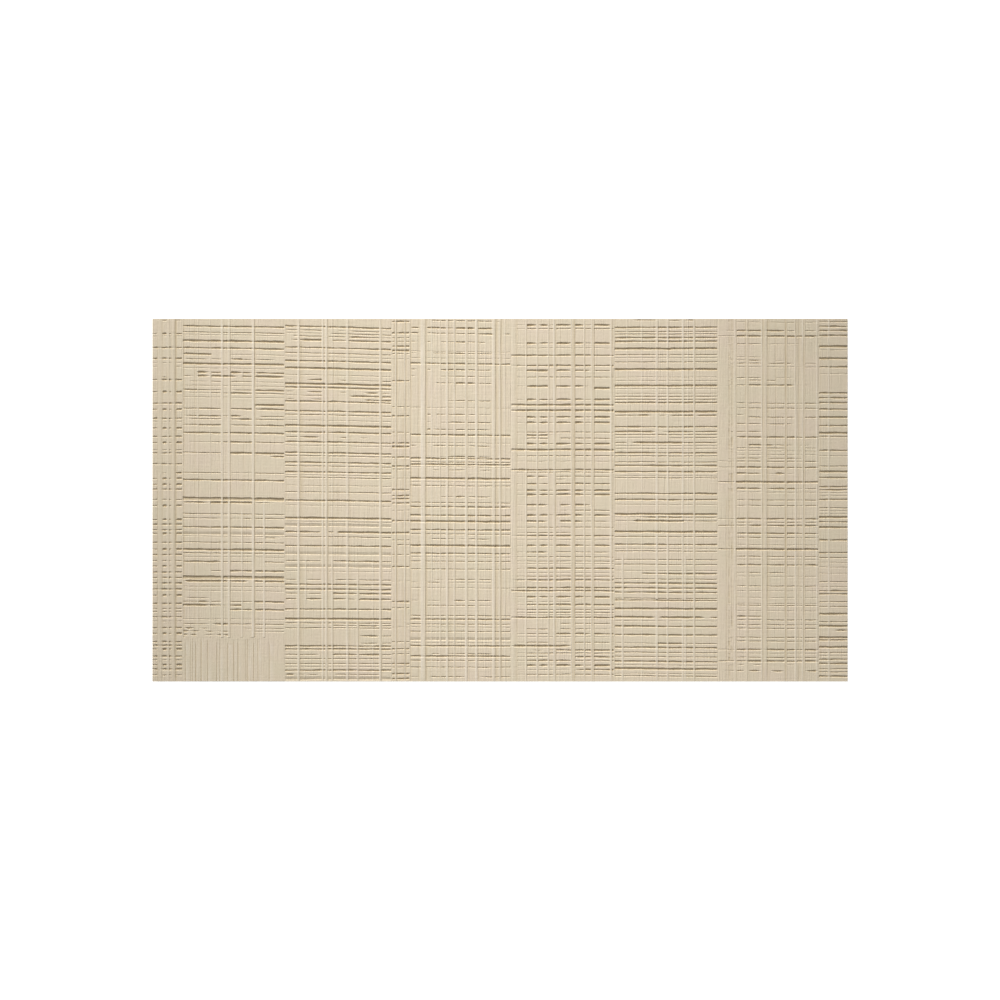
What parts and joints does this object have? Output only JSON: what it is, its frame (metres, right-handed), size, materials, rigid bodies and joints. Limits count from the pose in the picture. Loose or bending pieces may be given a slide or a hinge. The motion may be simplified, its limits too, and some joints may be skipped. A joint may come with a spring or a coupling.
{
  "type": "flexible stone wall panel",
  "caption": "Thin flexible stone sheet for cladding walls, with a woven relief of bands, grooves and raised cords on its face and a flat back that is glued to the wall.",
  "frame": {"origin": "middle of the flat back, on the surface that the sheet lies on", "axes": "+X along the sheet's length and along its grooves, +Y across it towards its top edge, +Z out of the patterned face"},
  "size_m": [1.15, 0.6, 0.0045],
  "materials": {
    "beige_stone": "matt beige mineral face with fine sandy grain"
  },
  "bodies": {
    "root": {"stone_panel": "beige_stone"}
  },
  "joints": []
}
